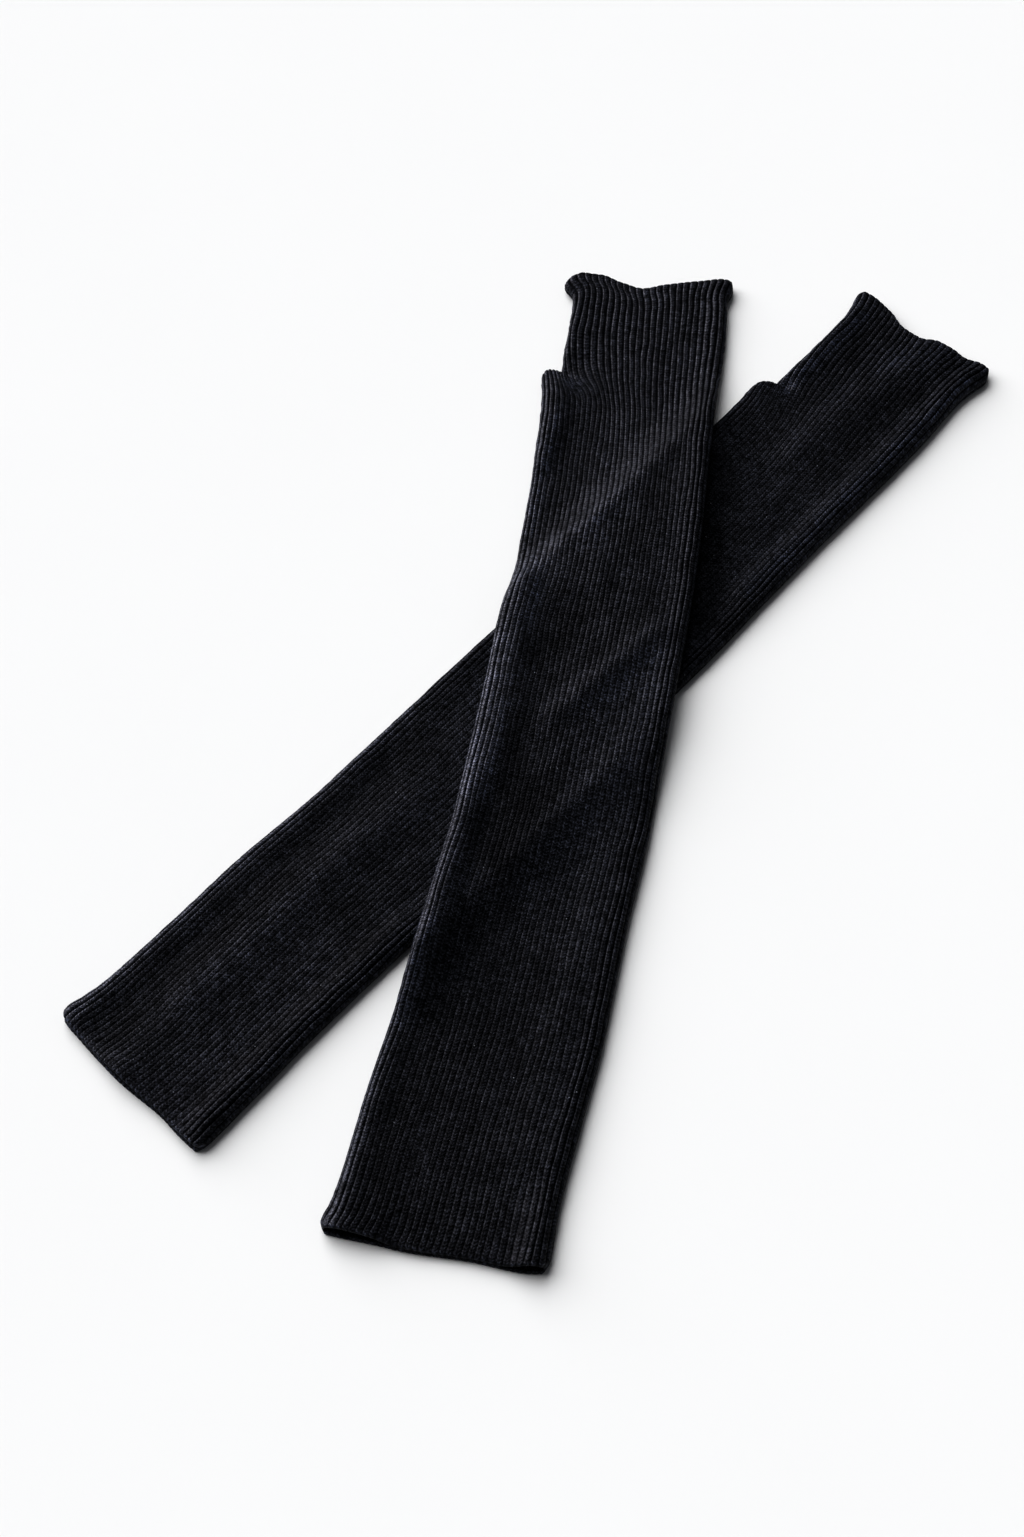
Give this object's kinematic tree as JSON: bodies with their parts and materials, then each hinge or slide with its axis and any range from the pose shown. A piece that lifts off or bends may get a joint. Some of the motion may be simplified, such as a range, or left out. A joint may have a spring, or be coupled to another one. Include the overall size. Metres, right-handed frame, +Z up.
{
  "type": "pair of arm warmers",
  "caption": "Long rib-knit arm warmers laid flat and crossed, each a soft tube from elbow to hand with an open thumb mouth at one side.",
  "frame": {"origin": "on the surface that the pair lies on, under the middle of its bounding box", "axes": "+Z up from the surface, +Y towards the hand ends along the longest side of the box, +X to the right of that, towards the lower arm warmer's hand end"},
  "size_m": [0.3954, 0.5254, 0.0143],
  "materials": {
    "black_rib_knit": "matt near-black wool-blend rib knit with a faint soft nap"
  },
  "bodies": {
    "root": {"over_arm_tube": "black_rib_knit", "over_hand_tube": "black_rib_knit", "under_arm_tube": "black_rib_knit", "under_hand_tube": "black_rib_knit"}
  },
  "joints": []
}
